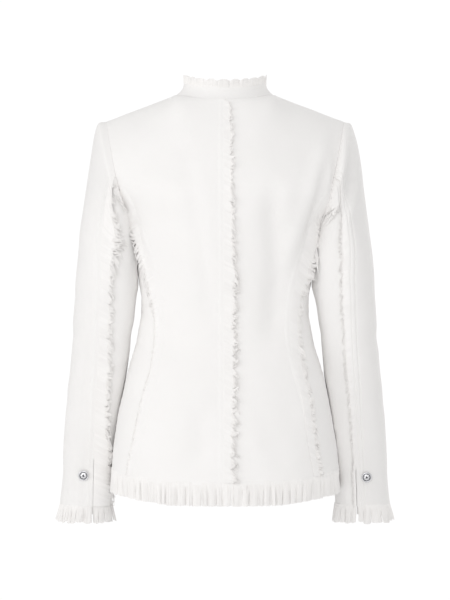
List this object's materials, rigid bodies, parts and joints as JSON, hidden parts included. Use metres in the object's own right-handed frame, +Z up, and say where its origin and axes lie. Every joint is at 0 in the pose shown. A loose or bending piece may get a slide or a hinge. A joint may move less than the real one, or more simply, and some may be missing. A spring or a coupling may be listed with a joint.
{
  "type": "fitted stand-collar jacket with frayed seams",
  "caption": "Hip-length fitted jacket in white cotton twill with princess seams, two-part sleeves, a low stand collar and raw fringed edges, hollow as worn, front closed.",
  "frame": {"origin": "middle of the wearer's neck at the height where the shoulder seams meet the collar, which is where the jacket hangs on its wearer", "axes": "+X to the wearer's left, -Y to the wearer's front, +Z up along the wearer's spine"},
  "size_m": [0.5366, 0.2717, 0.701],
  "materials": {
    "white_twill": "bleached cotton twill denim, matt, washed soft",
    "white_threads": "loose cotton threads of the raw edges, matt",
    "silver_metal": "polished silver-coloured shank buttons"
  },
  "bodies": {
    "root": {"back_left": "white_twill", "back_right": "white_twill", "side_back_left": "white_twill", "side_back_right": "white_twill", "side_front_left": "white_twill", "side_front_right": "white_twill", "front_left": "white_twill", "front_right": "white_twill", "collar_band": "white_twill", "sleeve_top_left": "white_twill", "sleeve_top_right": "white_twill", "sleeve_under_left": "white_twill", "sleeve_under_right": "white_twill", "collar_fringe": "white_threads", "hem_fringe": "white_threads", "cuff_fringe_left": "white_threads", "cuff_fringe_right": "white_threads", "centre_back_fringe": "white_threads", "princess_fringe_left": "white_threads", "princess_fringe_right": "white_threads", "sleeve_fringe_left": "white_threads", "sleeve_fringe_right": "white_threads", "armhole_fringe_left": "white_threads", "armhole_fringe_right": "white_threads", "cuff_button_left": "silver_metal", "cuff_button_right": "silver_metal", "front_button_1": "silver_metal", "front_button_2": "silver_metal", "front_button_3": "silver_metal", "front_button_4": "silver_metal", "front_button_5": "silver_metal", "front_button_6": "silver_metal"}
  },
  "joints": []
}
